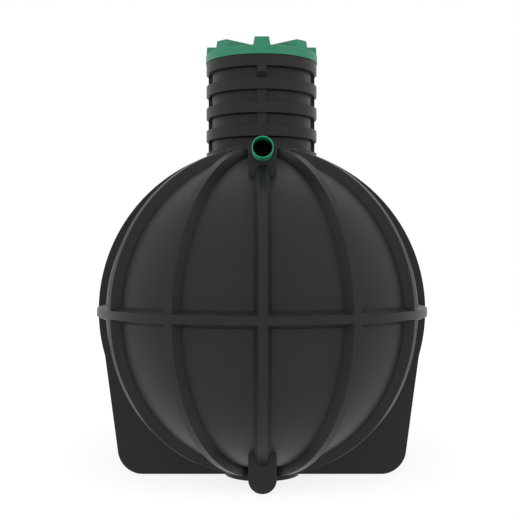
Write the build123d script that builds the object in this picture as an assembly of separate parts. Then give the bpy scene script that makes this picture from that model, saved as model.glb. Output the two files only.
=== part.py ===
"""Septic tank: a ribbed capsule body, a corrugated manhole neck, a lift-off lid and two pipe stubs.

Millimetres, +Z up, ground at z = 0. The tank lies along Y with its inlet at -Y.
"""
import os

from build123d import *

# Capsule body
BAND_RADIUS = 940.0  # over the level band; the bottom strip reaches as far
RIB_RADIUS = BAND_RADIUS - 1.0  # ribs and hoops pass just under the band's face
RIB_HEIGHT = 48.0  # ribs above the panels
WALL = 12.0  # moulded wall
HALF_STRAIGHT = 480.0  # tank middle to the centre of a round end
PANEL_RADIUS = RIB_RADIUS - RIB_HEIGHT
CAVITY_RADIUS = PANEL_RADIUS - WALL
CENTRE_Z = BAND_RADIUS

# Ribs and band
RIB_FACE = 44.0  # outer face
RIB_BASE = 87.0  # where a rib meets the panels
RIB_DRAFT = (RIB_BASE - RIB_FACE) / 2 / RIB_HEIGHT  # widening per unit of depth
RIB_EDGE = 4.0  # eased outer edges
RIB_STEP = 30.0  # degrees between the ribs of a round end
RIB_ANGLES = [step * RIB_STEP for step in (-2, -1, 0, 1, 2)]
ROOT_DEPTH = 40.0  # raw features reach this far inside the panels before they are trimmed

# Hoops and feet
HOOP_WIDTH = 60.0
FOOT_TOP_INSET = 38.0  # feet start this far inside the band, at each side
FOOT_TOP_X = BAND_RADIUS - FOOT_TOP_INSET
FOOT_TOP_DROP = 249.0  # below the tank's centre line
FOOT_BOTTOM_INSET = 131.0  # and stand this far inside it on the ground
FOOT_BOTTOM_X = BAND_RADIUS - FOOT_BOTTOM_INSET
FOOT_CORNER = 141.0

# Strips along the top and bottom; the top one is rounded like the hoops, the bottom one is flat
STRIP_HALF_WIDTH = 215.0

# Bosses at both ends
BOSS_RADIUS = 75.0
BOSS_REACH_SHARE = 253 / 470  # boss face in front of a round end's centre, by the band's radius
BOSS_REACH = BAND_RADIUS * BOSS_REACH_SHARE
BOSS_DEPTH = 260.0  # legs below the boss's round end, before trimming
BOSS_EDGE = 3.0
BOSS_RISE = RIB_RADIUS - BOSS_RADIUS

# Pipe stubs
PIPE_RADIUS = 55.0
PIPE_WALL = 5.3
PIPE_REACH = 187.0  # beyond the boss
PIPE_Z = CENTRE_Z + BOSS_RISE

# Manhole neck; all neck and lid heights are above the tank's centre line
NECK_BAND_RADIUS = 343.0
NECK_GROOVE_DEPTH = 31.0
NECK_GROOVE_RADIUS = NECK_BAND_RADIUS - NECK_GROOVE_DEPTH
NECK_SINK = 160.0  # foot of the neck below the top strip
NECK_BASE = BAND_RADIUS - NECK_SINK
NECK_LOW_BAND = 22.0  # top strip to the first groove
NECK_FIRST_GROOVE = BAND_RADIUS + NECK_LOW_BAND
NECK_PITCH = 139.6
NECK_GROOVE = 60.6
NECK_GROOVES = 4
NECK_SLOPE = 5.0
NECK_TOP_BAND = 65.4  # last groove to the shoulder
NECK_SHOULDER = NECK_FIRST_GROOVE + (NECK_GROOVES - 1) * NECK_PITCH + NECK_GROOVE + NECK_TOP_BAND
COLLAR_STEP = 16.0  # collar inside the neck's bands
COLLAR_RADIUS = NECK_BAND_RADIUS - COLLAR_STEP
COLLAR_HEIGHT = 50.0
COLLAR_TOP = NECK_SHOULDER + COLLAR_HEIGHT
NECK_RIB_WIDTH = 53.0
NECK_RIB_DEPTH = 20.0  # ribs out of the groove
NECK_RIB_RADIUS = NECK_GROOVE_RADIUS + NECK_RIB_DEPTH
TOOTH_HEIGHT = 36.0  # upright face of the tooth under the top band, at the front and back
TOOTH_TOE_DEPTH = 4.0  # tooth out of the groove at its sloping lower end
TOOTH_TOE_RADIUS = NECK_GROOVE_RADIUS + TOOTH_TOE_DEPTH

# Lid
LID_CLEARANCE = 6.0  # skirt round the collar
LID_GAP = 5.0  # skirt above the shoulder
LID_SKIRT_BOTTOM = NECK_SHOULDER + LID_GAP
LID_OVERHANG = 4.0  # skirt beyond the neck's bands
LID_RADIUS = NECK_BAND_RADIUS + LID_OVERHANG
LID_DRAFT = 1.5
LID_TOP_RADIUS = LID_RADIUS - LID_DRAFT
LID_PLATE = 12.0
LID_TOP = COLLAR_TOP + LID_PLATE
LID_EDGE = 1.5
LID_RIB_BASE = 103.0
LID_RIB_FACE = 85.0
LID_RIB_HEIGHT = 48.0
LID_RIB_EDGE = 5.0
LID_BARS = 4  # full-width bars, two ribs each


def capsule(radius):
    """Solid capsule along Y, round about the tank's centre line."""
    tip = HALF_STRAIGHT + radius
    outline = [
        CenterArc((-HALF_STRAIGHT, 0), radius, 90, 90),
        Line((-HALF_STRAIGHT, radius), (HALF_STRAIGHT, radius)),
        CenterArc((HALF_STRAIGHT, 0), radius, 0, 90),
        Line((-tip, 0), (tip, 0)),
    ]
    return Pos(0, 0, CENTRE_Z) * revolve(Plane.YZ * make_face(outline), Axis.Y, 360)


def rib_section(radius, eased=True):
    """Tapered rib section on XY: width along X, height along Y from the rib's own centre."""
    foot = PANEL_RADIUS - ROOT_DEPTH
    foot_half_width = RIB_FACE / 2 + RIB_DRAFT * (radius - foot)
    outline = Polyline(
        (-foot_half_width, foot),
        (foot_half_width, foot),
        (RIB_FACE / 2, radius),
        (-RIB_FACE / 2, radius),
        close=True,
    )
    section = make_face(outline)
    if not eased:
        return section
    return chamfer(section.vertices().group_by(Axis.Y)[-1], RIB_EDGE)


def front_end(shape):
    """Move a shape from the origin to the centre of the front round end."""
    return Pos(0, -HALF_STRAIGHT, CENTRE_Z) * shape


def to_back(shape):
    """The same shape at the back end, by symmetry."""
    return mirror(shape, Plane.XZ)


def meridian_rib(angle):
    """Half ring from the bottom to the top of the front end, turned about its upright axis."""
    start = Plane.XZ * Rot(0, 0, 180) * rib_section(RIB_RADIUS)
    half_ring = revolve(start, Axis((0, 0, 0), (-1, 0, 0)), 180)
    return front_end(Rot(0, 0, angle) * half_ring)


def middle_rib():
    """Full ring round the tank's middle."""
    section = Plane.YZ * rib_section(RIB_RADIUS)
    return Pos(0, 0, CENTRE_Z) * revolve(section, Axis.Y, 360)


def front_band_ring(eased):
    """Half of the level band, round the front end; sharp edged where it only trims ribs."""
    section = Plane.XZ * Rot(0, 0, -90) * rib_section(BAND_RADIUS, eased)
    half_ring = revolve(section, Axis((0, 0, 0), (0, 0, -1)), 180)
    return front_end(half_ring)


def straight_band(side, eased):
    """Straight run of the level band along one flank; side is -1 or +1."""
    section = Plane.XZ * Rot(0, 0, -90 * side) * rib_section(BAND_RADIUS, eased)
    run = extrude(section, HALF_STRAIGHT, both=True)
    return Pos(0, 0, CENTRE_Z) * run


def hoop_plate():
    """Upright plate at the front end's base: a full disc with a foot at each side."""
    lower_foot = make_face(
        Polyline(
            (-FOOT_TOP_X, -FOOT_TOP_DROP),
            (-FOOT_BOTTOM_X, -CENTRE_Z),
            (FOOT_BOTTOM_X, -CENTRE_Z),
            (FOOT_TOP_X, -FOOT_TOP_DROP),
            close=True,
        )
    )
    lower_foot = fillet(lower_foot.vertices().group_by(Axis.Y)[0], FOOT_CORNER)
    outline = Circle(RIB_RADIUS) + lower_foot
    return front_end(extrude(Plane.XZ * outline, HOOP_WIDTH / 2, both=True))


def rounded_top(radius):
    """Solid cylinder along the tank, for the top strip's rounded face."""
    return Pos(0, 0, CENTRE_Z) * Rot(90, 0, 0) * Cylinder(radius, 4 * HALF_STRAIGHT)


def strip_prism(half_width, height):
    """Upright prism over the tank's top strip, from inside the body to a height above its centre."""
    slot = Rot(0, 0, 90) * SlotCenterToCenter(2 * HALF_STRAIGHT, 2 * half_width)
    base = PANEL_RADIUS / 2
    return Pos(0, 0, CENTRE_Z + base) * extrude(slot, height - base)


def boss_prism(radius, reach):
    """Arch-ended prism at the top of the front end, run back to the end's centre."""
    arch = Pos(0, BOSS_RISE) * Circle(radius)
    legs = Pos(0, BOSS_RISE - BOSS_DEPTH / 2) * Rectangle(2 * radius, BOSS_DEPTH)
    return front_end(extrude(Plane.XZ * (arch + legs), reach))


def upside_down(shape):
    """The same shape under the tank, mirrored in its centre plane."""
    return mirror(shape, Plane.XY.offset(CENTRE_Z))


def neck_outline(radius_offset, slope_shift):
    """Points up the corrugated neck, from its base to its shoulder."""
    band = NECK_BAND_RADIUS - radius_offset
    groove = NECK_GROOVE_RADIUS - radius_offset
    points = [(band, NECK_BASE)]
    for index in range(NECK_GROOVES):
        low = NECK_FIRST_GROOVE + index * NECK_PITCH - slope_shift
        high = low + NECK_GROOVE + 2 * slope_shift
        points.append((band, low - NECK_SLOPE))
        points.append((groove, low))
        points.append((groove, high))
        points.append((band, high + NECK_SLOPE))
    return points


def neck_wall():
    """Corrugated wall of the neck with the collar that the lid sits on."""
    outer = neck_outline(0, 0)
    inner = neck_outline(WALL, WALL)
    outer += [
        (NECK_BAND_RADIUS, NECK_SHOULDER),
        (COLLAR_RADIUS, NECK_SHOULDER),
        (COLLAR_RADIUS, COLLAR_TOP),
    ]
    inner += [
        (NECK_BAND_RADIUS - WALL, NECK_SHOULDER - WALL),
        (COLLAR_RADIUS - WALL, NECK_SHOULDER - WALL),
        (COLLAR_RADIUS - WALL, COLLAR_TOP),
    ]
    profile = make_face(Polyline(*(outer + inner[::-1]), close=True))
    return Pos(0, 0, CENTRE_Z) * revolve(Plane.XZ * profile, Axis.Z, 360)


def neck_rib(low, high, radius):
    """Front upright rib against a groove's wall, from one height to another."""
    standing = (Align.CENTER, Align.CENTER, Align.MIN)
    bar = Box(NECK_RIB_WIDTH, NECK_BAND_RADIUS, high - low, align=(Align.CENTER, Align.MAX, Align.MIN))
    ring = Cylinder(radius, high - low, align=standing)
    ring = ring - Cylinder(NECK_GROOVE_RADIUS, high - low, align=standing)
    return Pos(0, 0, CENTRE_Z + low) * (bar & ring)


def neck_tooth(low, high):
    """Front tooth in the top groove: flush with the band above, then sloping in to the groove."""
    inside = NECK_GROOVE_RADIUS - WALL
    section = make_face(
        Polyline(
            (-inside, high + NECK_SLOPE),
            (-NECK_BAND_RADIUS, high + NECK_SLOPE),
            (-NECK_BAND_RADIUS, high - TOOTH_HEIGHT),
            (-TOOTH_TOE_RADIUS, low),
            (-TOOTH_TOE_RADIUS, low - NECK_SLOPE),
            (-inside, low - NECK_SLOPE),
            close=True,
        )
    )
    bar = extrude(Plane.YZ * section, NECK_RIB_WIDTH / 2, both=True)
    return Pos(0, 0, CENTRE_Z) * bar & neck_plug


def lid_cover():
    """Flat lid with a skirt round the collar; its disc rests on the collar's rim."""
    bore = COLLAR_RADIUS + LID_CLEARANCE
    profile = make_face(
        Polyline(
            (0, COLLAR_TOP),
            (bore, COLLAR_TOP),
            (bore, LID_SKIRT_BOTTOM),
            (LID_RADIUS, LID_SKIRT_BOTTOM),
            (LID_TOP_RADIUS, LID_TOP),
            (0, LID_TOP),
            close=True,
        )
    )
    rim = profile.vertices().sort_by_distance((LID_TOP_RADIUS, LID_TOP))[0]
    profile = fillet(rim, LID_EDGE)
    return Pos(0, 0, CENTRE_Z) * revolve(Plane.XZ * profile, Axis.Z, 360)


def lid_ribs():
    """Star of radial ribs on the lid, trimmed to its rim."""
    section = make_face(
        Polyline(
            (-LID_RIB_BASE / 2, 0),
            (LID_RIB_BASE / 2, 0),
            (LID_RIB_FACE / 2, LID_RIB_HEIGHT),
            (-LID_RIB_FACE / 2, LID_RIB_HEIGHT),
            close=True,
        )
    )
    section = fillet(section.vertices().group_by(Axis.Y)[-1], LID_RIB_EDGE)
    bar = extrude(Plane.XZ * section, LID_RADIUS, both=True)
    star = bar
    for index in range(1, LID_BARS):
        star = star + Rot(0, 0, 180 / LID_BARS * index) * bar
    rim = LID_TOP_RADIUS - LID_EDGE
    disc = Cylinder(rim, LID_RIB_HEIGHT, align=(Align.CENTER, Align.CENTER, Align.MIN))
    return Pos(0, 0, CENTRE_Z + LID_TOP) * (star & disc)


def level_bar(radius, behind):
    """Level round bar from the front pipe's mouth to some way behind the boss's face."""
    length = PIPE_REACH + behind
    middle = -HALF_STRAIGHT - BOSS_REACH + behind - length / 2
    return Pos(0, middle, PIPE_Z) * Rot(90, 0, 0) * Cylinder(radius, length)


def half(shape, above=None, right=None, back=None):
    """Solids of a shape whose middle lies on the asked side of the tank's planes."""
    kept = []
    for solid in shape.solids():
        middle = solid.center(CenterOf.BOUNDING_BOX)
        if above is not None and (middle.Z > CENTRE_Z) != above:
            continue
        if right is not None and (middle.X > 0) != right:
            continue
        if back is not None and (middle.Y > 0) != back:
            continue
        kept.append(solid)
    return kept


# Raw features, before they are trimmed to each other
cavity = capsule(CAVITY_RADIUS)
shell = capsule(PANEL_RADIUS) - cavity
neck_plug = Pos(0, 0, CENTRE_Z + NECK_BASE) * Cylinder(
    NECK_BAND_RADIUS,
    COLLAR_TOP - NECK_BASE,
    align=(Align.CENTER, Align.CENTER, Align.MIN),
)
top_strip = strip_prism(STRIP_HALF_WIDTH, BAND_RADIUS)
bottom_strip = upside_down(top_strip)
front_boss = boss_prism(BOSS_RADIUS, BOSS_REACH)
front_toe = upside_down(front_boss)
front_ribs = [meridian_rib(angle) for angle in RIB_ANGLES]
ring_rib = middle_rib()
front_plate = hoop_plate()
front_ring = front_band_ring(eased=False)
left_run = straight_band(-1, eased=False)
right_run = straight_band(1, eased=False)
band_tools = [front_ring, to_back(front_ring), left_run, right_run]
strip_tools = [top_strip, bottom_strip]

# Strips: trays of wall thickness, the top one parted by the neck
hollow = strip_prism(STRIP_HALF_WIDTH - WALL, BAND_RADIUS - WALL)
top_tray = (top_strip & rounded_top(RIB_RADIUS)) - (hollow & rounded_top(RIB_RADIUS - WALL))
top_tray = top_tray - [cavity, neck_plug]
bottom_tray = upside_down(top_strip - hollow) - cavity

# Bosses: hollow, open to the tank, butted against the strips
boss = fillet(front_boss.edges().group_by(Axis.Y)[0], BOSS_EDGE)
boss = boss - boss_prism(BOSS_RADIUS - WALL, BOSS_REACH - WALL)
boss = boss - [cavity, top_strip]
toe_boss = upside_down(boss)
pipe_bore = level_bar(PIPE_RADIUS - PIPE_WALL, 2 * WALL)
inlet_boss = boss - pipe_bore
inlet_pipe = level_bar(PIPE_RADIUS, 0) - pipe_bore

# Band, hoops with feet, ribs and panels, each trimmed to what stands over it
front_band = front_band_ring(eased=True) - cavity
left_band = straight_band(-1, eased=True) - cavity
right_band = straight_band(1, eased=True) - cavity
hoop = front_plate - [cavity, *strip_tools, front_ring, left_run, right_run]
ribs = [rib - [cavity, *strip_tools, front_boss, front_toe, front_ring] for rib in front_ribs]
rib_set = Compound(children=[solid for rib in ribs for solid in rib.solids()])
side_ribs = ring_rib
for tool in (cavity, *strip_tools, neck_plug, left_run, right_run):
    side_ribs = side_ribs - tool
panels = shell
for tool in (front_plate, to_back(front_plate), *band_tools, *strip_tools, neck_plug, ring_rib):
    panels = panels - tool
side_panels = [solid for solid in panels.solids() if abs(solid.center().Y) < HALF_STRAIGHT]
end_panels = [solid for solid in panels.solids() if solid.center().Y < -HALF_STRAIGHT]
side_set = Compound(children=side_panels)
front_set = Part(Compound(children=end_panels)) - [front_boss, front_toe]
for rib in front_ribs:
    front_set = front_set - rib

# Neck and its ribs
neck = neck_wall()
riser = neck - cavity
front_neck_ribs = []
for groove in range(NECK_GROOVES):
    low_edge = NECK_FIRST_GROOVE + groove * NECK_PITCH
    neck_bar = neck_rib(low_edge - NECK_SLOPE, low_edge + NECK_GROOVE + NECK_SLOPE, NECK_RIB_RADIUS)
    front_neck_ribs.append(neck_bar - neck)
top_edge = NECK_FIRST_GROOVE + (NECK_GROOVES - 1) * NECK_PITCH
tooth = neck_tooth(top_edge, top_edge + NECK_GROOVE) - neck
side_ribs_of_neck = [Rot(0, 0, 90) * rib for rib in front_neck_ribs]
front_neck_ribs[-1] = tooth
quarter_ribs = [*front_neck_ribs, *side_ribs_of_neck]
neck_ribs = [Rot(0, 0, turn) * rib for turn in (0, 180) for rib in quarter_ribs]

NODES = {
    "front_band": front_band.solids(),
    "back_band": to_back(front_band).solids(),
    "left_band": left_band.solids(),
    "right_band": right_band.solids(),
    "front_upper_ribs": half(rib_set, above=True),
    "front_lower_ribs": half(rib_set, above=False),
    "back_upper_ribs": half(to_back(rib_set), above=True),
    "back_lower_ribs": half(to_back(rib_set), above=False),
    "side_upper_ribs": half(side_ribs, above=True),
    "side_lower_ribs": half(side_ribs, above=False),
    "front_upper_hoop": half(hoop, above=True),
    "back_upper_hoop": half(to_back(hoop), above=True),
    "front_left_foot": half(hoop, above=False, right=False),
    "front_right_foot": half(hoop, above=False, right=True),
    "back_left_foot": half(to_back(hoop), above=False, right=False),
    "back_right_foot": half(to_back(hoop), above=False, right=True),
    "top_strip": top_tray.solids(),
    "bottom_strip": bottom_tray.solids(),
    "inlet_boss": inlet_boss.solids(),
    "outlet_boss": to_back(inlet_boss).solids(),
    "front_toe_boss": toe_boss.solids(),
    "back_toe_boss": to_back(toe_boss).solids(),
    "front_upper_panels": half(front_set, above=True),
    "front_lower_panels": half(front_set, above=False),
    "back_upper_panels": half(to_back(front_set), above=True),
    "back_lower_panels": half(to_back(front_set), above=False),
    "left_upper_panels": half(side_set, above=True, right=False),
    "left_lower_panels": half(side_set, above=False, right=False),
    "right_upper_panels": half(side_set, above=True, right=True),
    "right_lower_panels": half(side_set, above=False, right=True),
    "neck_riser": riser.solids(),
    "neck_ribs": [solid for rib in neck_ribs for solid in rib.solids()],
    "lid_cover": lid_cover().solids(),
    "lid_ribs": lid_ribs().solids(),
    "inlet_pipe": inlet_pipe.solids(),
    "outlet_pipe": to_back(inlet_pipe).solids(),
}

os.makedirs("parts", exist_ok=True)
for name, solids in NODES.items():
    body = Compound(children=list(solids)) if len(solids) > 1 else solids[0]
    export_step(body, f"parts/{name}.step")
    box = body.bounding_box()
    print(name, len(solids), [round(v) for v in (*box.min, *box.max)], round(body.volume / 1e6, 2))
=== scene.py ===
"""Septic tank: a ribbed moulded body, a corrugated manhole neck, a lift-off lid and two pipe stubs."""
from math import asin, atan2, cos, hypot, pi, radians, sin, sqrt, tan

import bmesh
import bpy
from bmesh.types import BMEdge, BMVert
from bpy.props import FloatProperty, FloatVectorProperty, IntProperty, PointerProperty
from bpy.types import Operator, Panel, PropertyGroup
from mathutils import Matrix, Vector


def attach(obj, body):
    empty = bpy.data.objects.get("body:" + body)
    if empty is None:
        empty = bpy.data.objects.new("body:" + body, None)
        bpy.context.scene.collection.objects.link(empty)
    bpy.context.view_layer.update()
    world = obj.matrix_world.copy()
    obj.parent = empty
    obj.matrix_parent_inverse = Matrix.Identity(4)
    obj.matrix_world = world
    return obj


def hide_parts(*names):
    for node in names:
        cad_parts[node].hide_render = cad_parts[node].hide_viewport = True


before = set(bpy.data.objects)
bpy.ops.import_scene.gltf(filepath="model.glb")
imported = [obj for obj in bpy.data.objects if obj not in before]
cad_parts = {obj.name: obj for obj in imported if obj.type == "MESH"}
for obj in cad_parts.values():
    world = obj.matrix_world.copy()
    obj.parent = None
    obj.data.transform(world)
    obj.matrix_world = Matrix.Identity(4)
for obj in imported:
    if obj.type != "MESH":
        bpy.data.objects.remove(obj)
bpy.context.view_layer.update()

bl_info = {
    "name": "Septic tank",
    "version": (1, 0, 0),
    "blender": (4, 5, 0),
    "location": "3D View > Sidebar > Septic tank",
    "description": "Builds a moulded septic tank piece by piece",
    "category": "Object",
}

AXIS_X = Vector((1, 0, 0))
AXIS_Y = Vector((0, 1, 0))
AXIS_Z = Vector((0, 0, 1))
ORIGIN = (0, 0, 0)
QUARTER_TURN = pi / 2
HALF_TURN = pi
FULL_TURN = 2 * pi

# Each end: its name, its side along Y and its turn from the front
ENDS = (("front", -1, 0), ("back", 1, HALF_TURN))
UPRIGHT = 0
UPSIDE_DOWN = HALF_TURN

# Each kind of piece: its material, the body that it rides on and its slot
BODY = ("black_plastic", "tank", "body")
NECK = ("black_plastic", "tank", "neck")
LID = ("green_lid_plastic", "lid", "lid")
PIPE = ("green_pipe_plastic", "tank", "pipe")
PLASTICS = {"black_plastic": "body", "green_lid_plastic": "lid", "green_pipe_plastic": "pipe"}

# Faces that meet at more than these angles keep a sharp edge between them
SHARP_ANGLE = radians(38)
UPRIGHT_RIB_SHARP_ANGLE = radians(20)

# Points closer than this, in metres, are one point
MERGE_DISTANCE = 1e-5
NO_LENGTH = 1e-6

# Steps of the curved shapes
WALL_STEPS = 192
ROUND_END_STEPS = 48
STRAIGHT_STEPS = 12
MANHOLE_STEPS = 96
RIB_STEPS = 96
SIDE_RIB_STEPS = 90
BAND_STEPS = 96
HOOP_STEPS = 144
FOOT_CORNER_STEPS = 12
STRIP_END_STEPS = 48
STRIP_SEAT_STEPS = 24
STRIP_SLICES = 18
ARCH_STEPS = 32
BORE_STEPS = 64
NECK_STEPS = 128
UPRIGHT_RIB_STEPS = 6
LID_STEPS = 128
LID_RIM_STEPS = 5
PIPE_STEPS = 80
EASED_STEPS = 2
ROUNDED_STEPS = 3

# Noise in the moulded plastics: scale, detail and roughness
CLOUD_NOISE = (3.5, 4.0, 0.55)
WAVE_NOISE = (38.0, 2.0, 0.5)
PEBBLE_NOISE = (420.0, 3.0, 0.6)
# What that noise does to tone, gloss and relief
CLOUD_TONE = 0.75
CLOUD_GLOSS = 0.10
PEBBLE_GLOSS = 0.06
WAVE_RELIEF = 0.8
PEBBLE_RELIEF = 0.35
RELIEF_DEPTH = 0.001
# Sockets of the Mix node when it mixes colours
MIX_FACTOR, MIX_FIRST, MIX_SECOND, MIX_RESULT = 0, 6, 7, 2

# Soft lamps: name, place and side length, all turned to one point
LAMPS = (
    ("lamp_over", (0.0, -1.0, 7.0), 6.0),
    ("lamp_left", (-6.0, -4.0, 3.5), 4.0),
    ("lamp_right", (6.0, -4.0, 3.5), 4.0),
)
LAMP_AIM = Vector((0, 0, 1.2))
WHITE = (1, 1, 1, 1)


def length(label, default, note):
    """A length property in metres."""
    return FloatProperty(name=label, description=note, default=default, unit="LENGTH", precision=4)


def angle(label, default, note):
    """An angle property, given in degrees."""
    return FloatProperty(name=label, description=note, default=radians(default), subtype="ANGLE")


def count(label, default, note):
    """A whole number of like features."""
    return IntProperty(name=label, description=note, default=default, min=1)


def colour(label, default, note):
    """A linear colour property."""
    return FloatVectorProperty(
        name=label, description=note, default=default, subtype="COLOR", size=3, min=0, max=1
    )


def amount(label, default, note):
    """A plain factor."""
    return FloatProperty(name=label, description=note, default=default, min=0, precision=4)


class BodySizes(PropertyGroup):
    """Sizes of the moulded body."""

    centre_height: length("Centre height", 0.940, "Centre line of the body above the ground")
    half_straight: length("Half straight", 0.480, "Tank middle to the centre of a round end")
    wall: length("Wall", 0.012, "Thickness of the moulded wall")
    panel_radius: length("Panel radius", 0.891, "Outside of the wall between the ribs")
    rib_radius: length("Rib radius", 0.939, "Outer face of ribs and hoops")
    band_radius: length("Band radius", 0.940, "Outer face of the level band and the bottom strip")
    rib_face: length("Rib face", 0.044, "Width of a rib's outer face")
    rib_base: length("Rib base", 0.087, "Width of a rib where it meets the wall")
    rib_edge: length("Rib edge", 0.0015, "Setback of a rib's eased outer edges")
    end_ribs: count("End ribs", 5, "Ribs on a round end")
    rib_step: angle("Rib step", 30, "Angle between the ribs of a round end")
    rib_reach: angle("Rib reach", 80, "How far the end ribs climb above and below the centre line")
    side_rib_top: angle("Side rib top", 69.5, "How far the side ribs climb, up to the neck")
    hoop_width: length("Hoop width", 0.060, "Width of a hoop and of the feet below it")
    hoop_edge: length("Hoop edge", 0.0015, "Setback of the hoop's rounded edges")
    foot_top_x: length("Foot top", 0.9038, "Half width of the feet at their top")
    foot_top_drop: length("Foot top drop", 0.249, "Top of the feet below the centre line")
    foot_bottom_x: length("Foot bottom", 0.8108, "Half width of the feet on the ground")
    foot_corner: length("Foot corner", 0.141, "Radius of a foot's lower outer corner")
    strip_half_width: length("Strip half width", 0.215, "Half width of the strips along the top and bottom")
    strip_root: length("Strip root", 0.858033, "Inner edge of the strips, from the centre line")
    boss_radius: length("Boss radius", 0.075, "Half width and round end of a boss")
    boss_legs: length("Boss legs", 0.150, "Straight sides of a boss below its round end")
    boss_reach: length("Boss reach", 0.506, "Face of a boss in front of the round end's centre")
    boss_length: length("Boss length", 0.3985, "Face of a boss to its back end under the strip")
    boss_edge: length("Boss edge", 0.002, "Setback of a boss's rounded front edge")


class NeckSizes(PropertyGroup):
    """Sizes of the manhole neck, with heights above the body's centre line."""

    band_radius: length("Band radius", 0.345, "Outside of the neck's bands")
    groove_radius: length("Groove radius", 0.312, "Outside of the neck's grooves")
    base: length("Base", 0.780, "Foot of the neck inside the body")
    first_groove: length("First groove", 0.9593, "Lower edge of the first groove")
    pitch: length("Pitch", 0.139, "From one groove to the next")
    groove: length("Groove", 0.0633, "Height of a groove")
    grooves: count("Grooves", 4, "Grooves up the neck")
    slope: length("Slope", 0.005, "Height of the sloped step beside a groove")
    shoulder: length("Shoulder", 1.512, "Step below the collar")
    collar_radius: length("Collar radius", 0.327, "Outside of the collar under the lid")
    collar_top: length("Collar top", 1.5568, "Rim that the lid rests on")
    edge: length("Edge", 0.0015, "Setback of eased band edges")
    rib_width: length("Rib width", 0.053, "Width of the upright ribs in the grooves")
    rib_radius: length("Rib radius", 0.332, "Face of the upright ribs")
    tooth_height: length("Tooth height", 0.031, "Upright face of the tooth under the top band")
    toe_radius: length("Toe radius", 0.3245, "Lower end of the tooth's slope")


class LidSizes(PropertyGroup):
    """Sizes of the lid, with heights above the body's centre line."""

    radius: length("Radius", 0.3487, "Lower edge of the skirt")
    top_radius: length("Top radius", 0.3485, "Upper edge of the skirt")
    bore_radius: length("Bore radius", 0.333, "Inside of the skirt")
    skirt_bottom: length("Skirt bottom", 1.514, "Lower edge of the skirt")
    top: length("Top", 1.5688, "Flat top between the ribs")
    rim: length("Rim", 0.009, "Rounding of the disc's upper edge")
    edge: length("Edge", 0.0008, "Setback of the skirt's lower edges")
    arm_base: length("Arm base", 0.103, "Width of a rib at its foot")
    arm_face: length("Arm face", 0.085, "Width of a rib at its top")
    arm_height: length("Arm height", 0.047, "Height of the ribs")
    arm_sink: length("Arm sink", 0.002, "How far the ribs go into the disc")
    arm_base_reach: length("Arm reach", 0.3458, "Length of a rib's foot from the lid's middle")
    arm_face_reach: length("Arm face reach", 0.3427, "Length of a rib's top from the lid's middle")
    arm_edge: length("Arm edge", 0.001, "Setback of the ribs' rounded edges")
    arms: count("Arms", 8, "Ribs in the star")


class PipeSizes(PropertyGroup):
    """Sizes of the pipe stubs."""

    radius: length("Radius", 0.055, "Outside of the pipe")
    wall: length("Wall", 0.0036, "Thickness of the pipe wall")
    reach: length("Reach", 0.187, "How far a stub stands out from its boss")
    sink: length("Sink", 0.012, "How far a stub goes into its boss")
    lip: length("Lip", 0.0012, "Setback of the rounded mouth")


class Colours(PropertyGroup):
    """Colours and finishes."""

    body: colour("Body", (0.0128, 0.0128, 0.0130), "Black moulded plastic")
    body_gloss: amount("Body gloss", 0.24, "Specular level of the black plastic")
    body_roughness: amount("Body roughness", 0.42, "Mean roughness of the black plastic")
    body_mottle: amount("Body mottle", 0.12, "Cloudy change of the black plastic's tone")
    body_grain: amount("Body grain", 0.22, "Strength of the black plastic's relief")
    lid: colour("Lid", (0.034, 0.200, 0.113), "Green moulded lid")
    lid_gloss: amount("Lid gloss", 0.20, "Specular level of the lid")
    lid_roughness: amount("Lid roughness", 0.40, "Mean roughness of the lid")
    lid_mottle: amount("Lid mottle", 0.06, "Cloudy change of the lid's tone")
    lid_grain: amount("Lid grain", 0.20, "Strength of the lid's relief")
    pipe: colour("Pipe", (0.021, 0.360, 0.180), "Green pipe")
    pipe_gloss: amount("Pipe gloss", 0.40, "Specular level of the pipe")
    pipe_roughness: amount("Pipe roughness", 0.33, "Mean roughness of the pipe")
    pipe_mottle: amount("Pipe mottle", 0.04, "Cloudy change of the pipe's tone")
    pipe_grain: amount("Pipe grain", 0.08, "Strength of the pipe's relief")
    floor: colour("Floor", (0.90, 0.90, 0.90), "Pale studio floor")


class StudioSettings(PropertyGroup):
    """Camera, light and floor."""

    camera_place: FloatVectorProperty(
        name="Camera place",
        description="Where the camera stands",
        default=(-0.0300, -5.9911, 1.2390),
        subtype="TRANSLATION",
        precision=4,
    )
    lens: FloatProperty(name="Lens", description="Focal length in millimetres", default=66.01)
    sensor: FloatProperty(name="Sensor", description="Picture height in millimetres", default=36)
    lens_shift: FloatVectorProperty(
        name="Lens shift",
        description="Sideways and upward shift of the picture, as shares of its height",
        default=(0.0024, -0.0029),
        size=2,
        precision=4,
    )
    view_depth: length("View depth", 200.0, "How far the camera sees")
    ambient: amount("Ambient", 0.80, "Strength of the white surround on the object")
    lamp_power: amount("Lamp power", 120.0, "Power of each soft lamp in watts")
    floor_size: length("Floor size", 60.0, "Side of the studio floor")
    floor_squares: count("Floor squares", 8, "Squares along a side of the floor")
    floor_drop: length("Floor drop", 0.0005, "Floor below the object's underside")
    floor_roughness: amount("Floor roughness", 0.6, "Roughness of the matt floor")
    floor_white: amount("Floor white", 0.76, "Share of plain white that the camera sees in the floor")
    floor_level: amount("Floor level", 1.08, "Strength of that white")


class Socket:
    """An output of a shader node that can be used in plain arithmetic."""

    def __init__(self, graph, output):
        self.graph = graph
        self.output = output

    def maths(self, operation, first, second):
        return self.graph.add("ShaderNodeMath", {"operation": operation}, {0: first, 1: second})

    def __add__(self, other):
        return self.maths("ADD", self, other)

    def __radd__(self, other):
        return self.maths("ADD", other, self)

    def __mul__(self, other):
        return self.maths("MULTIPLY", self, other)

    def __rmul__(self, other):
        return self.maths("MULTIPLY", other, self)

    def maximum(self, other):
        return self.maths("MAXIMUM", self, other)


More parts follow.
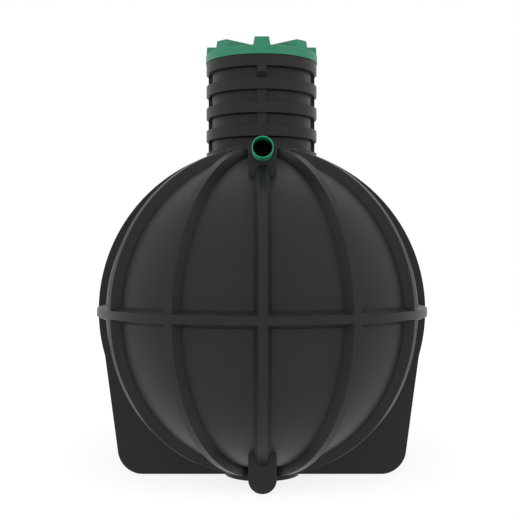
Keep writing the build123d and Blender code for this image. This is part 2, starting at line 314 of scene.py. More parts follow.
class Graph:
    """A node tree that is filled node by node."""

    def __init__(self, owner):
        owner.use_nodes = True
        self.tree = owner.node_tree
        self.tree.nodes.clear()

    def add(self, kind, settings=None, sockets=None, out=0):
        """Add a node: its settings first, then its sockets; gives one of its outputs."""
        node = self.tree.nodes.new(kind)
        for name, value in (settings or {}).items():
            setattr(node, name, value)
        for name, value in (sockets or {}).items():
            if isinstance(value, Socket):
                self.tree.links.new(value.output, node.inputs[name])
            else:
                node.inputs[name].default_value = value
        return Socket(self, node.outputs[out]) if node.outputs else None

    def noise(self, place, scale, detail, roughness):
        """Add a noise texture."""
        values = {"Vector": place, "Scale": scale, "Detail": detail, "Roughness": roughness}
        return self.add("ShaderNodeTexNoise", sockets=values)


def moulded_plastic(name, base, gloss, roughness, mottle, grain):
    """Moulded plastic: soft cloudy tone, slow waves and a fine grain in the surface."""
    material = bpy.data.materials.new(name)
    graph = Graph(material)
    place = graph.add("ShaderNodeTexCoord", out="Object")
    clouds = graph.noise(place, *CLOUD_NOISE)
    waves = graph.noise(place, *WAVE_NOISE)
    pebble = graph.noise(place, *PEBBLE_NOISE)
    tone = graph.add(
        "ShaderNodeMix",
        {"data_type": "RGBA"},
        {
            MIX_FACTOR: CLOUD_TONE * clouds + (1 - CLOUD_TONE) * pebble,
            MIX_FIRST: (*[value * (1 - mottle) for value in base], 1),
            MIX_SECOND: (*[value * (1 + mottle) for value in base], 1),
        },
        out=MIX_RESULT,
    )
    smoothest = roughness - (CLOUD_GLOSS + PEBBLE_GLOSS) / 2
    height = WAVE_RELIEF * waves + PEBBLE_RELIEF * pebble
    relief = graph.add(
        "ShaderNodeBump", sockets={"Strength": grain, "Distance": RELIEF_DEPTH, "Height": height}
    )
    shader = graph.add(
        "ShaderNodeBsdfPrincipled",
        sockets={
            "Base Color": tone,
            "Roughness": smoothest + CLOUD_GLOSS * clouds + PEBBLE_GLOSS * pebble,
            "Normal": relief,
            "Specular IOR Level": gloss,
        },
    )
    graph.add("ShaderNodeOutputMaterial", sockets={"Surface": shader})
    return material


def named_material(name):
    """The material of that name, made on its first use."""
    found = bpy.data.materials.get(name)
    if found:
        return found
    look = bpy.context.scene.tank_colours
    part = PLASTICS[name]
    traits = [getattr(look, f"{part}_{trait}") for trait in ("gloss", "roughness", "mottle", "grain")]
    return moulded_plastic(name, getattr(look, part), *traits)


def everything(bm):
    """All geometry of a mesh as one list."""
    return bm.verts[:] + bm.edges[:] + bm.faces[:]


def only(kind, geometry):
    """The elements of one kind."""
    return [item for item in geometry if isinstance(item, kind)]


def move(bm, shift):
    """Move a whole mesh."""
    bmesh.ops.translate(bm, verts=bm.verts, vec=shift)


def turn(bm, by, axis):
    """Turn a whole mesh about a main axis."""
    bmesh.ops.rotate(bm, verts=bm.verts, matrix=Matrix.Rotation(by, 3, axis))


def sweep(bm, axis, by, steps):
    """Sweep a flat face round an axis into a solid."""
    bmesh.ops.spin(bm, geom=everything(bm), cent=ORIGIN, axis=axis, angle=by, steps=steps)


def copy_round(bm, by, copies):
    """Copy a whole mesh round the upright axis, spread over an angle."""
    bmesh.ops.spin(
        bm,
        geom=everything(bm),
        cent=ORIGIN,
        axis=AXIS_Z,
        angle=by,
        steps=copies,
        use_duplicate=True,
    )


def outline(bm, points, closed=True):
    """A run of edges through a few points."""
    verts = [bm.verts.new(point) for point in points]
    pairs = list(zip(verts, verts[1:]))
    if closed:
        pairs.append((verts[-1], verts[0]))
    for pair in pairs:
        bm.edges.new(pair)
    return verts


def arc(bm, vert, centre, axis, by, steps):
    """Draw an arc on from a vertex; gives its last vertex."""
    drawn = bmesh.ops.spin(
        bm, geom=[vert], cent=centre, axis=axis, angle=by, steps=steps, use_merge=False
    )
    return only(BMVert, drawn["geom_last"])[0]


def line(bm, vert, point):
    """Draw a straight edge on from a vertex; gives its last vertex."""
    end = bm.verts.new(point)
    bm.edges.new((vert, end))
    return end


def fill(bm):
    """Fill a closed outline with one face; gives the face."""
    return bmesh.ops.contextual_create(bm, geom=bm.edges[:])["faces"][0]


def fill_round_hole(bm, steps, radius, place):
    """Fill a closed outline but for a round hole."""
    bmesh.ops.create_circle(bm, segments=steps, radius=radius, matrix=place)
    bmesh.ops.triangle_fill(bm, edges=bm.edges[:], use_beauty=True)


def drop_faces(bm):
    """Leave only the edges of a filled outline."""
    bmesh.ops.delete(bm, geom=bm.faces[:], context="FACES_ONLY")


def round_corners(bm, verts, setback, steps):
    """Round the corners of a flat face."""
    bmesh.ops.bevel(
        bm,
        geom=verts,
        offset=setback,
        offset_type="OFFSET",
        segments=steps,
        profile=0.5,
        affect="VERTICES",
        material=-1,
    )


def round_edges(bm, edges, setback):
    """Round the edges of a solid."""
    bmesh.ops.bevel(
        bm,
        geom=edges,
        offset=setback,
        offset_type="OFFSET",
        segments=ROUNDED_STEPS,
        profile=0.5,
        affect="EDGES",
        clamp_overlap=True,
        material=-1,
    )


def raise_faces(bm, faces, shift):
    """Extrude faces by a shift."""
    made = bmesh.ops.extrude_face_region(bm, geom=faces)["geom"]
    bmesh.ops.translate(bm, verts=only(BMVert, made), vec=shift)


def turn_round(bm, axis, steps):
    """Turn a profile's edges all the way round an axis and close the seam and the poles."""
    edges = bm.verts[:] + bm.edges[:]
    bmesh.ops.spin(
        bm, geom=edges, cent=ORIGIN, axis=axis, angle=FULL_TURN, steps=steps, use_merge=True
    )
    bmesh.ops.remove_doubles(bm, verts=bm.verts, dist=MERGE_DISTANCE)
    bmesh.ops.dissolve_degenerate(bm, edges=bm.edges, dist=NO_LENGTH)


def as_mesh(bm, name):
    """Put finished geometry, which is used up, into a new mesh."""
    mesh = bpy.data.meshes.new(name)
    bm.to_mesh(mesh)
    bm.free()
    return mesh


def as_object(mesh):
    """Show a mesh as an object of the same name."""
    shown = bpy.data.objects.new(mesh.name, mesh)
    bpy.context.scene.collection.objects.link(shown)
    return shown


def join(bm, part):
    """Add the geometry of another mesh, which is used up."""
    mesh = as_mesh(part, "part")
    bm.from_mesh(mesh)
    bpy.data.meshes.remove(mesh)


def sharp_edges(bm, test):
    """Edges between faces that meet at an angle, where a test of their middle holds."""
    return [
        edge
        for edge in bm.edges
        if edge.calc_face_angle(0) > SHARP_ANGLE and test((edge.verts[0].co + edge.verts[1].co) / 2)
    ]


def even_shading(piece):
    """Shade a piece evenly, with its sharp edges kept."""
    even = piece.modifiers.new("even_shading", "WEIGHTED_NORMAL")
    even.keep_sharp = True


def make_piece(bm, name, kind, nodes, sharp=SHARP_ANGLE):
    """Turn finished geometry into a piece that stands for CAD nodes and rides on their body."""
    material, body, slot = kind
    bmesh.ops.recalc_face_normals(bm, faces=bm.faces)
    for face in bm.faces:
        face.smooth = True
    for edge in bm.edges:
        edge.smooth = edge.calc_face_angle(0) < sharp
    piece = as_object(as_mesh(bm, name))
    piece.data.materials.append(named_material(material))
    even_shading(piece)
    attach(piece, body)
    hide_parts(*nodes)
    return piece


def cut_away(piece, shape):
    """Cut a closed shape, which is used up, out of a piece."""
    piece.modifiers.clear()
    cutter = as_object(as_mesh(shape, "cutter"))
    cut = piece.modifiers.new("cut", "BOOLEAN")
    cut.object = cutter
    cut.operation = "DIFFERENCE"
    cut.solver = "EXACT"
    depsgraph = bpy.context.evaluated_depsgraph_get()
    result = bpy.data.meshes.new_from_object(piece.evaluated_get(depsgraph))
    piece.modifiers.remove(cut)
    spent = (cutter.data, piece.data)
    bpy.data.objects.remove(cutter)
    piece.data = result
    for mesh in spent:
        bpy.data.meshes.remove(mesh)
    even_shading(piece)


def capsule_profile(bm, radius, sizes):
    """Half outline of the capsule, from its front tip over the top to its back tip."""
    straight = sizes.half_straight
    tip = bm.verts.new((0, -straight - radius, 0))
    top = arc(bm, tip, (0, -straight, 0), AXIS_X, -QUARTER_TURN, ROUND_END_STEPS)
    for step in range(1, STRAIGHT_STEPS + 1):
        top = line(bm, top, (0, straight * (2 * step / STRAIGHT_STEPS - 1), radius))
    arc(bm, top, (0, straight, 0), AXIS_X, -QUARTER_TURN, ROUND_END_STEPS)


def turn_inner_skin(mesh, sizes):
    """Turn the faces of the inner skin towards the tank's inside."""
    bm = bmesh.new()
    bm.from_mesh(mesh)
    limit = sizes.panel_radius - sizes.wall / 2
    wrong = []
    for face in bm.faces:
        middle = face.calc_center_median()
        along = max(-sizes.half_straight, min(sizes.half_straight, middle.y))
        spoke = middle - Vector((0, along, sizes.centre_height))
        is_inner = spoke.length < limit
        if (face.normal.dot(spoke) > 0) == is_inner:
            wrong.append(face)
    bmesh.ops.reverse_faces(bm, faces=wrong)
    bm.to_mesh(mesh)
    bm.free()


def neck_ring(sizes, neck):
    """Radius at which the wall and the top strip meet the neck, half way into its wall."""
    return neck.band_radius - sizes.wall / 2


class TANK_OT_wall(Operator):
    """Build the capsule wall, open at the manhole and behind the bosses"""

    bl_idname = "tank.wall"
    bl_label = "Wall"

    def execute(self, context):
        sizes = context.scene.tank_body
        bm = bmesh.new()
        for radius in (sizes.panel_radius, sizes.panel_radius - sizes.wall):
            capsule_profile(bm, radius, sizes)
        turn_round(bm, AXIS_Y, WALL_STEPS)
        move(bm, (0, 0, sizes.centre_height))
        nodes = [
            f"{side}_{level}_panels"
            for side in ("front", "back", "left", "right")
            for level in ("upper", "lower")
        ]
        piece = make_piece(bm, "tank_wall", BODY, nodes)
        turn_inner_skin(piece.data, sizes)
        manhole = bmesh.new()
        ring = neck_ring(sizes, context.scene.tank_neck)
        bmesh.ops.create_cone(
            manhole,
            cap_ends=True,
            segments=MANHOLE_STEPS,
            radius1=ring,
            radius2=ring,
            depth=sizes.panel_radius,
            matrix=Matrix.Translation((0, 0, sizes.centre_height + sizes.panel_radius)),
        )
        cut_away(piece, manhole)
        for _, _, facing in ENDS:
            for flip in (UPRIGHT, UPSIDE_DOWN):
                cut_away(piece, boss_hollow(sizes, facing, flip))
        return {"FINISHED"}


def rib_section(bm, sizes, radius):
    """Tapered rib section, width along X and height along Z, with its foot inside the wall."""
    foot = sizes.panel_radius - sizes.wall / 2
    draft = (sizes.rib_base - sizes.rib_face) / 2 / (sizes.rib_radius - sizes.panel_radius)
    half_face = sizes.rib_face / 2
    half_foot = half_face + draft * (radius - foot)
    verts = outline(
        bm,
        [
            (-half_foot, 0, foot),
            (half_foot, 0, foot),
            (half_face, 0, radius),
            (-half_face, 0, radius),
        ],
    )
    fill(bm)
    round_corners(bm, verts[2:], sizes.rib_edge, EASED_STEPS)


class TANK_OT_ribs(Operator):
    """Build the ribs of both round ends and of the flanks"""

    bl_idname = "tank.ribs"
    bl_label = "Ribs"

    def execute(self, context):
        sizes = context.scene.tank_body
        fan = (sizes.end_ribs - 1) * sizes.rib_step
        for end, side, facing in ENDS:
            bm = bmesh.new()
            rib_section(bm, sizes, sizes.rib_radius)
            turn(bm, QUARTER_TURN - sizes.rib_reach, "X")
            sweep(bm, AXIS_X, 2 * sizes.rib_reach, RIB_STEPS)
            turn(bm, -fan / 2, "Z")
            copy_round(bm, fan, sizes.end_ribs - 1)
            turn(bm, facing, "Z")
            move(bm, (0, side * sizes.half_straight, sizes.centre_height))
            piece = make_piece(bm, f"{end}_ribs", BODY, [f"{end}_upper_ribs", f"{end}_lower_ribs"])
            for flip in (UPRIGHT, UPSIDE_DOWN):
                cut_away(piece, boss_hollow(sizes, facing, flip))
        bm = bmesh.new()
        rib_section(bm, sizes, sizes.rib_radius)
        turn(bm, QUARTER_TURN, "Z")
        turn(bm, QUARTER_TURN - sizes.side_rib_top, "Y")
        sweep(bm, AXIS_Y, sizes.side_rib_top + sizes.rib_reach, SIDE_RIB_STEPS)
        copy_round(bm, HALF_TURN, 1)
        move(bm, (0, 0, sizes.centre_height))
        make_piece(bm, "side_ribs", BODY, ["side_upper_ribs", "side_lower_ribs"])
        return {"FINISHED"}


class TANK_OT_band(Operator):
    """Build the level band round the body"""

    bl_idname = "tank.band"
    bl_label = "Level band"

    def execute(self, context):
        sizes = context.scene.tank_body
        straight = sizes.half_straight
        bm = bmesh.new()
        rib_section(bm, sizes, sizes.band_radius)
        drop_faces(bm)
        turn(bm, QUARTER_TURN, "Y")
        move(bm, (0, -straight, 0))
        ring = bm.verts[:] + bm.edges[:]
        for centre in (-straight, straight):
            spun = bmesh.ops.spin(
                bm, geom=ring, cent=(0, centre, 0), axis=AXIS_Z, angle=-HALF_TURN, steps=BAND_STEPS
            )
            edges = only(BMEdge, spun["geom_last"])
            run = bmesh.ops.extrude_edge_only(bm, edges=edges)["geom"]
            ring = only(BMVert, run) + only(BMEdge, run)
            bmesh.ops.translate(bm, verts=only(BMVert, run), vec=(0, -2 * centre, 0))
        bmesh.ops.remove_doubles(bm, verts=bm.verts, dist=MERGE_DISTANCE)
        move(bm, (0, 0, sizes.centre_height))
        nodes = ["front_band", "back_band", "left_band", "right_band"]
        make_piece(bm, "level_band", BODY, nodes)
        return {"FINISHED"}


def foot_kink(sizes):
    """Where the straight side of a foot leaves the hoop's circle."""
    start = Vector((sizes.foot_top_x, -sizes.foot_top_drop))
    end = Vector((sizes.foot_bottom_x, -sizes.centre_height))
    run = end - start
    half_b = start.dot(run)
    gap = start.length_squared - sizes.rib_radius ** 2
    share = (-half_b + sqrt(half_b ** 2 - run.length_squared * gap)) / run.length_squared
    return start + run * share


def part_at_strips(bm, sizes):
    """Take out a hoop's middle under the strips, and close the cuts."""
    inside = sizes.strip_half_width - sizes.wall / 2
    for place in (-inside, inside):
        cut = bmesh.ops.bisect_plane(bm, geom=everything(bm), plane_co=(place, 0, 0), plane_no=AXIS_X)
        bmesh.ops.split_edges(bm, edges=only(BMEdge, cut["geom_cut"]))
    middle = [face for face in bm.faces if abs(face.calc_center_median().x) < inside]
    bmesh.ops.delete(bm, geom=middle, context="FACES")
    bmesh.ops.holes_fill(bm, edges=[edge for edge in bm.edges if edge.is_boundary])


class TANK_OT_hoops(Operator):
    """Build the hoops that grow into the feet"""

    bl_idname = "tank.hoops"
    bl_label = "Hoops and feet"

    def execute(self, context):
        sizes = context.scene.tank_body
        kink = foot_kink(sizes)
        bottom = -sizes.centre_height
        lean = atan2(kink.x - sizes.foot_bottom_x, kink.y - bottom)
        setback = sizes.foot_corner * tan((QUARTER_TURN - lean) / 2)
        arch = HALF_TURN + 2 * asin(-kink.y / sizes.rib_radius)
        outside = sizes.panel_radius + sizes.wall
        for end, side, _ in ENDS:
            bm = bmesh.new()
            first = bm.verts.new((kink.x, 0, kink.y))
            last = arc(bm, first, ORIGIN, AXIS_Y, -arch, HOOP_STEPS)
            left = line(bm, last, (-sizes.foot_bottom_x, 0, bottom))
            right = line(bm, left, (sizes.foot_bottom_x, 0, bottom))
            bm.edges.new((right, first))
            fill(bm)
            round_corners(bm, [left, right], setback, FOOT_CORNER_STEPS)
            drop_faces(bm)
            upright = Matrix.Rotation(QUARTER_TURN, 4, "X")
            fill_round_hole(bm, HOOP_STEPS, sizes.panel_radius - sizes.wall / 2, upright)
            move(bm, (0, -sizes.hoop_width / 2, 0))
            raise_faces(bm, bm.faces[:], (0, sizes.hoop_width, 0))
            rims = sharp_edges(
                bm, lambda at: hypot(at.x, at.z) > outside and abs(at.y) > sizes.hoop_width / 4
            )
            round_edges(bm, rims, sizes.hoop_edge)
            part_at_strips(bm, sizes)
            move(bm, (0, side * sizes.half_straight, sizes.centre_height))
            nodes = [f"{end}_upper_hoop", f"{end}_left_foot", f"{end}_right_foot"]
            make_piece(bm, f"{end}_hoop_and_feet", BODY, nodes)
        return {"FINISHED"}


def strip_end(bm, sizes):
    """Draw the round front end of a strip; gives its first and last vertex."""
    first = bm.verts.new((sizes.strip_half_width, -sizes.half_straight, 0))
    last = arc(bm, first, (0, -sizes.half_straight, 0), AXIS_Z, -HALF_TURN, STRIP_END_STEPS)
    return first, last


def strip_tray(bm, sizes):
    """Fill a strip's outline and raise it into a tray with a hollow back."""
    face = fill(bm)
    move(bm, (0, 0, sizes.strip_root))
    height = sizes.band_radius - sizes.strip_root
    raise_faces(bm, [face], (0, 0, height))
    back = min(bm.faces, key=lambda item: item.calc_center_median().z)
    bmesh.ops.inset_region(bm, faces=[back], thickness=sizes.wall, use_even_offset=True)
    raise_faces(bm, [back], (0, 0, height - sizes.wall))
    bmesh.ops.delete(bm, geom=[back], context="FACES_ONLY")


def round_over(bm, sizes):
    """Slice a top strip lengthwise and lay its flat faces on the hoops' round."""
    for index in range(1, STRIP_SLICES):
        place = sizes.strip_half_width * (2 * index / STRIP_SLICES - 1)
        bmesh.ops.bisect_plane(bm, geom=everything(bm), plane_co=(place, 0, 0), plane_no=AXIS_X)
    middle = sizes.band_radius - sizes.wall / 2
    for vert in bm.verts:
        if vert.co.z > middle:
            vert.co.z = sqrt(sizes.rib_radius ** 2 - vert.co.x ** 2)
        elif vert.co.z > middle - sizes.wall:
            vert.co.z = sqrt((sizes.rib_radius - sizes.wall) ** 2 - vert.co.x ** 2)


class TANK_OT_strips(Operator):
    """Build the strips along the top and the bottom"""

    bl_idname = "tank.strips"
    bl_label = "Strips"

    def execute(self, context):
        sizes = context.scene.tank_body
        half_width = sizes.strip_half_width
        straight = sizes.half_straight
        ring = neck_ring(sizes, context.scene.tank_neck)
        seat = asin(half_width / ring)
        bm = bmesh.new()
        first, last = strip_end(bm, sizes)
        left = line(bm, last, (-half_width, -ring * cos(seat), 0))
        right = arc(bm, left, ORIGIN, AXIS_Z, 2 * seat, STRIP_SEAT_STEPS)
        bm.edges.new((right, first))
        strip_tray(bm, sizes)
        round_over(bm, sizes)
        move(bm, (0, 0, sizes.centre_height))
        copy_round(bm, HALF_TURN, 1)
        make_piece(bm, "top_strip_halves", BODY, ["top_strip"])
        bm = bmesh.new()
        first, last = strip_end(bm, sizes)
        left = line(bm, last, (-half_width, straight, 0))
        right = arc(bm, left, (0, straight, 0), AXIS_Z, -HALF_TURN, STRIP_END_STEPS)
        bm.edges.new((right, first))
        strip_tray(bm, sizes)
        turn(bm, UPSIDE_DOWN, "Y")
        move(bm, (0, 0, sizes.centre_height))
        make_piece(bm, "bottom_strip_tray", BODY, ["bottom_strip"])
        return {"FINISHED"}


def boss_rise(sizes):
    """Centre of a boss's round end, from the centre line."""
    return sizes.rib_radius - sizes.boss_radius


def arch_over(bm, sizes, radius):
    """Draw a boss's legs and the half circle over them; gives both feet."""
    rise = boss_rise(sizes)
    foot = bm.verts.new((radius, 0, rise - sizes.boss_legs))
    shoulder = line(bm, foot, (radius, 0, rise))
    far = arc(bm, shoulder, (0, 0, rise), AXIS_Y, -HALF_TURN, ARCH_STEPS)
    return foot, line(bm, far, (-radius, 0, rise - sizes.boss_legs))


def run_back(bm, sizes):
    """Extrude a boss's section from behind its face to its back end."""
    raise_faces(bm, bm.faces[:], (0, sizes.boss_length - sizes.wall, 0))
    move(bm, (0, sizes.wall, 0))


def place_boss(bm, sizes, facing, flip):
    """Put a shape that starts at a boss's face in its place at one end."""
    turn(bm, flip, "Y")
    move(bm, (0, -sizes.half_straight - sizes.boss_reach, 0))
    turn(bm, facing, "Z")
    move(bm, (0, 0, sizes.centre_height))


def boss_hollow(sizes, facing, flip):
    """The hollow of a boss as a closed shape, which opens the wall and the rib behind it."""
    bm = bmesh.new()
    bm.edges.new(arch_over(bm, sizes, sizes.boss_radius - sizes.wall))
    fill(bm)
    run_back(bm, sizes)
    place_boss(bm, sizes, facing, flip)
    bmesh.ops.recalc_face_normals(bm, faces=bm.faces)
    return bm


class TANK_OT_bosses(Operator):
    """Build the four bosses, the upper two bored for the pipe stubs"""

    bl_idname = "tank.bosses"
    bl_label = "Bosses"

    def execute(self, context):
        sizes = context.scene.tank_body
        pipe = context.scene.tank_pipe
        radius = sizes.boss_radius
        rise = boss_rise(sizes)
        foot_height = rise - sizes.boss_legs
        bore_place = Matrix.Translation((0, 0, rise)) @ Matrix.Rotation(QUARTER_TURN, 4, "X")
        for node, facing, flip in (
            ("inlet_boss", 0, UPRIGHT),
            ("outlet_boss", HALF_TURN, UPRIGHT),
            ("front_toe_boss", 0, UPSIDE_DOWN),
            ("back_toe_boss", HALF_TURN, UPSIDE_DOWN),
        ):
            bm = bmesh.new()
            bm.edges.new(arch_over(bm, sizes, radius))
            if flip == UPRIGHT:
                fill_round_hole(bm, BORE_STEPS, pipe.radius - pipe.wall, bore_place)
            else:
                fill(bm)
            raise_faces(bm, bm.faces[:], (0, sizes.wall, 0))
            bmesh.ops.recalc_face_normals(bm, faces=bm.faces)
            rim = sharp_edges(
                bm,
                lambda at: at.y < MERGE_DISTANCE
                and at.z > foot_height + MERGE_DISTANCE
                and hypot(at.x, at.z - rise) > pipe.radius,
            )
            round_edges(bm, rim, sizes.boss_edge)
            tunnel = bmesh.new()
            outer_feet = arch_over(tunnel, sizes, radius)
            inner_feet = arch_over(tunnel, sizes, radius - sizes.wall)
            for pair in zip(outer_feet, inner_feet):
                tunnel.edges.new(pair)
            fill(tunnel)
            run_back(tunnel, sizes)
            join(bm, tunnel)
            place_boss(bm, sizes, facing, flip)
            make_piece(bm, f"{node}_arch", BODY, [node])
        return {"FINISHED"}


def neck_points(neck, offset):
    """Points up one side of the corrugated neck wall, set in by an offset."""
    band = neck.band_radius - offset
    groove = neck.groove_radius - offset
    points = [(band, neck.base)]
    for index in range(neck.grooves):
        low = neck.first_groove + index * neck.pitch - offset
        high = low + neck.groove + 2 * offset
        points += [(band, low - neck.slope), (groove, low), (groove, high), (band, high + neck.slope)]
    collar = neck.collar_radius - offset
    shoulder = neck.shoulder - offset
    return points + [(band, shoulder), (collar, shoulder), (collar, neck.collar_top)]


def upright_rib(bm, steps, neck, facing):
    """A short upright rib on the neck, from its side outline, at an angle from the neck's front."""
    part = bmesh.new()
    half = asin(neck.rib_width / 2 / neck.rib_radius)
    outline(part, [(0, -radius, height) for radius, height in steps])
    fill(part)
    turn(part, facing - half, "Z")
    sweep(part, AXIS_Z, 2 * half, UPRIGHT_RIB_STEPS)
    join(bm, part)


class TANK_OT_neck(Operator):
    """Build the corrugated neck and the upright ribs in its grooves"""

    bl_idname = "tank.neck"
    bl_label = "Neck"

    def execute(self, context):
        sizes = context.scene.tank_body
        neck = context.scene.tank_neck
        bm = bmesh.new()
        profile = neck_points(neck, 0) + neck_points(neck, sizes.wall)[::-1]
        outline(bm, [(radius, 0, height) for radius, height in profile])
        fill(bm)
        round_corners(bm, bm.verts[:], neck.edge, EASED_STEPS)
        drop_faces(bm)
        turn_round(bm, AXIS_Z, NECK_STEPS)
        move(bm, (0, 0, sizes.centre_height))
        make_piece(bm, "neck_wall", NECK, ["neck_riser"])
        bm = bmesh.new()
        inside = neck.groove_radius - sizes.wall / 2
        top_groove = neck.grooves - 1
        for facing in (0, QUARTER_TURN):
            for groove in range(neck.grooves):
                low = neck.first_groove + groove * neck.pitch - neck.slope
                high = low + neck.groove + 2 * neck.slope
                face = [(neck.rib_radius, low), (neck.rib_radius, high)]
                if groove == top_groove and facing == 0:
                    face = [
                        (neck.toe_radius, low),
                        (neck.toe_radius, low + neck.slope),
                        (neck.band_radius, high - neck.slope - neck.tooth_height),
                        (neck.band_radius, high),
                    ]
                upright_rib(bm, [(inside, low), *face, (inside, high)], neck, facing)
        copy_round(bm, HALF_TURN, 1)
        move(bm, (0, 0, sizes.centre_height))
        make_piece(bm, "neck_upright_ribs", NECK, ["neck_ribs"], UPRIGHT_RIB_SHARP_ANGLE)
        return {"FINISHED"}


def star_outline(bm, lid, half_width, reach, height):
    """Outline of the lid's star of ribs at one height; gives its edges."""
    before = set(bm.edges)
    half_step = HALF_TURN / lid.arms
    notch = half_width / sin(half_step) * cos(half_step)
    end = sqrt(reach ** 2 - half_width ** 2)
    verts = outline(
        bm,
        [
            (notch, -half_width, height),
            (end, -half_width, height),
            (reach, 0, height),
            (end, half_width, height),
            (notch, half_width, height),
        ],
        closed=False,
    )
    arm = verts + [edge for edge in bm.edges if edge not in before]
    others = lid.arms - 1
    bmesh.ops.spin(
        bm,
        geom=arm,
        cent=ORIGIN,
        axis=AXIS_Z,
        angle=FULL_TURN * others / lid.arms,
        steps=others,
        use_duplicate=True,
    )
    bmesh.ops.remove_doubles(bm, verts=bm.verts, dist=MERGE_DISTANCE)
    return [edge for edge in bm.edges if edge not in before]


class TANK_OT_lid(Operator):
    """Build the lid with its skirt and its star of ribs"""

    bl_idname = "tank.lid"
    bl_label = "Lid"

    def execute(self, context):
        lid = context.scene.tank_lid
        neck = context.scene.tank_neck
        centre_height = context.scene.tank_body.centre_height
        bm = bmesh.new()
        _, _, inner_hem, outer_hem, rim, _ = outline(
            bm,
            [
                (0, 0, neck.collar_top),
                (lid.bore_radius, 0, neck.collar_top),
                (lid.bore_radius, 0, lid.skirt_bottom),
                (lid.radius, 0, lid.skirt_bottom),
                (lid.top_radius, 0, lid.top),
                (0, 0, lid.top),
            ],
        )
        fill(bm)
        round_corners(bm, [rim], lid.rim, LID_RIM_STEPS)
        round_corners(bm, [inner_hem, outer_hem], lid.edge, EASED_STEPS)
        drop_faces(bm)
        on_axis = [edge for edge in bm.edges if max(abs(vert.co.x) for vert in edge.verts) < NO_LENGTH]
        bmesh.ops.delete(bm, geom=on_axis, context="EDGES")
        turn_round(bm, AXIS_Z, LID_STEPS)
        move(bm, (0, 0, centre_height))
        make_piece(bm, "lid_disc", LID, ["lid_cover"])
        bm = bmesh.new()
        star_top = lid.top + lid.arm_height
        base = star_outline(bm, lid, lid.arm_base / 2, lid.arm_base_reach, lid.top - lid.arm_sink)
        face = star_outline(bm, lid, lid.arm_face / 2, lid.arm_face_reach, star_top)
        bmesh.ops.bridge_loops(bm, edges=base + face)
        for loop in (base, face):
            bmesh.ops.contextual_create(bm, geom=loop)
        bmesh.ops.recalc_face_normals(bm, faces=bm.faces)
        # The notches between the ribs stay sharp from top to foot
        rounded = [
            edge
            for edge in sharp_edges(bm, lambda at: at.z > lid.top)
            if min(vert.co.z for vert in edge.verts) > lid.top
            or min(hypot(vert.co.x, vert.co.y) for vert in edge.verts) > lid.arm_base
        ]
        round_edges(bm, rounded, lid.arm_edge)
        move(bm, (0, 0, centre_height))
        make_piece(bm, "lid_star", LID, ["lid_ribs"])
        return {"FINISHED"}


class TANK_OT_pipes(Operator):
    """Build the open pipe stubs"""

    bl_idname = "tank.pipes"
    bl_label = "Pipe stubs"

    def execute(self, context):
        sizes = context.scene.tank_body
        pipe = context.scene.tank_pipe
        face = sizes.half_straight + sizes.boss_reach
        root = face - pipe.sink
        mouth = face + pipe.reach
        bore = pipe.radius - pipe.wall
        for node, facing in (("inlet_pipe", HALF_TURN), ("outlet_pipe", 0)):
            bm = bmesh.new()
            verts = outline(
                bm,
                [(bore, root, 0), (pipe.radius, root, 0), (pipe.radius, mouth, 0), (bore, mouth, 0)],
            )
            fill(bm)
            round_corners(bm, verts[2:], pipe.lip, ROUNDED_STEPS)
            drop_faces(bm)
            turn_round(bm, AXIS_Y, PIPE_STEPS)
            turn(bm, facing, "Z")
            move(bm, (0, 0, sizes.centre_height + boss_rise(sizes)))
            make_piece(bm, f"{node}_stub", PIPE, [node])
        return {"FINISHED"}


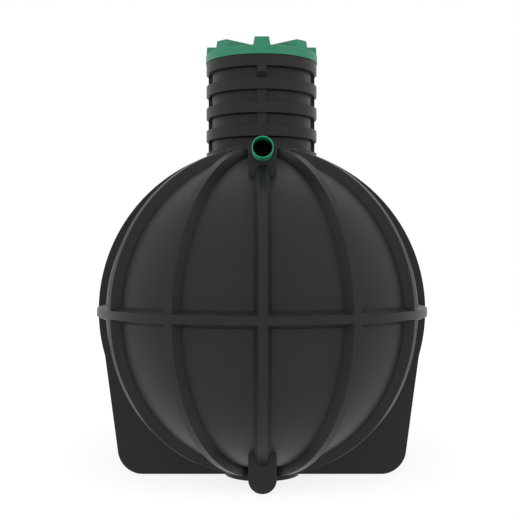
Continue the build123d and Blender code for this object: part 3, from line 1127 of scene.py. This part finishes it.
class TANK_OT_stage(Operator):
    """Set the studio: floor, white surround, soft lamps and camera"""

    bl_idname = "tank.stage"
    bl_label = "Studio"

    def execute(self, context):
        scene = context.scene
        self.lay_floor(scene.tank_studio, scene.tank_colours)
        self.white_surround(scene)
        self.hang_lamps(scene)
        self.set_camera(scene)
        scene.view_settings.view_transform = "Standard"
        return {"FINISHED"}

    def lay_floor(self, studio, look):
        """Pale matt floor that the camera sees as white, with the object's shadow."""
        bm = bmesh.new()
        squares = studio.floor_squares
        bmesh.ops.create_grid(bm, x_segments=squares, y_segments=squares, size=studio.floor_size / 2)
        floor = as_object(as_mesh(bm, "floor"))
        floor.location.z = -studio.floor_drop
        material = bpy.data.materials.new("pale_floor")
        graph = Graph(material)
        camera = graph.add("ShaderNodeLightPath", out="Is Camera Ray")
        glossy = graph.add("ShaderNodeLightPath", out="Is Glossy Ray")
        paint = {"Color": (*look.floor, 1), "Roughness": studio.floor_roughness}
        matt = graph.add("ShaderNodeBsdfDiffuse", sockets=paint)
        glow = {"Color": WHITE, "Strength": studio.floor_level}
        white = graph.add("ShaderNodeEmission", sockets=glow)
        share = (camera * studio.floor_white).maximum(glossy)
        both = graph.add("ShaderNodeMixShader", sockets={0: share, 1: matt, 2: white})
        graph.add("ShaderNodeOutputMaterial", sockets={"Surface": both})
        floor.data.materials.append(material)

    def white_surround(self, scene):
        """White all round to the camera and in reflections, softer as light."""
        ambient = scene.tank_studio.ambient
        scene.world = bpy.data.worlds.new("white_surround")
        graph = Graph(scene.world)
        camera = graph.add("ShaderNodeLightPath", out="Is Camera Ray")
        glossy = graph.add("ShaderNodeLightPath", out="Is Glossy Ray")
        through = graph.add("ShaderNodeLightPath", out="Is Transmission Ray")
        seen = camera.maximum(glossy).maximum(through)
        level = ambient + (1 - ambient) * seen
        sky = graph.add("ShaderNodeBackground", sockets={"Color": WHITE, "Strength": level})
        graph.add("ShaderNodeOutputWorld", sockets={"Surface": sky})

    def hang_lamps(self, scene):
        """Soft lamps above and at both sides, which leave no reflection of their own."""
        for name, place, size in LAMPS:
            light = bpy.data.lights.new(name, "AREA")
            light.energy = scene.tank_studio.lamp_power
            light.size = size
            lamp = bpy.data.objects.new(name, light)
            lamp.location = place
            lamp.rotation_euler = (LAMP_AIM - Vector(place)).to_track_quat("-Z", "Y").to_euler()
            lamp.visible_glossy = False
            scene.collection.objects.link(lamp)

    def set_camera(self, scene):
        """Camera that looks level along the tank, with a small lens shift."""
        studio = scene.tank_studio
        view = bpy.data.cameras.new("camera")
        view.sensor_fit = "VERTICAL"
        view.sensor_height = studio.sensor
        view.lens = studio.lens
        view.shift_x, view.shift_y = studio.lens_shift
        view.clip_end = studio.view_depth
        camera = bpy.data.objects.new("camera", view)
        camera.location = studio.camera_place
        camera.rotation_euler = (QUARTER_TURN, 0, 0)
        scene.collection.objects.link(camera)
        scene.camera = camera


STEPS = (
    TANK_OT_wall,
    TANK_OT_ribs,
    TANK_OT_band,
    TANK_OT_hoops,
    TANK_OT_strips,
    TANK_OT_bosses,
    TANK_OT_neck,
    TANK_OT_lid,
    TANK_OT_pipes,
    TANK_OT_stage,
)


class TANK_PT_panel(Panel):
    """Sidebar panel with the steps of the build"""

    bl_idname = "TANK_PT_panel"
    bl_label = "Septic tank"
    bl_space_type = "VIEW_3D"
    bl_region_type = "UI"
    bl_category = "Septic tank"

    def draw(self, context):
        for step in STEPS:
            self.layout.operator(step.bl_idname)


GROUPS = {
    "tank_body": BodySizes,
    "tank_neck": NeckSizes,
    "tank_lid": LidSizes,
    "tank_pipe": PipeSizes,
    "tank_colours": Colours,
    "tank_studio": StudioSettings,
}


def register():
    """Register the property groups, operators and panel."""
    for name, group in GROUPS.items():
        bpy.utils.register_class(group)
        setattr(bpy.types.Scene, name, PointerProperty(type=group))
    for step in (*STEPS, TANK_PT_panel):
        bpy.utils.register_class(step)


def unregister():
    """Remove what register added."""
    for step in (TANK_PT_panel, *reversed(STEPS)):
        bpy.utils.unregister_class(step)
    for name, group in reversed(GROUPS.items()):
        delattr(bpy.types.Scene, name)
        bpy.utils.unregister_class(group)


def main():
    """Build every piece in order."""
    register()
    for step in STEPS:
        category, action = step.bl_idname.split(".")
        getattr(getattr(bpy.ops, category), action)()


if __name__ == "__main__":
    main()
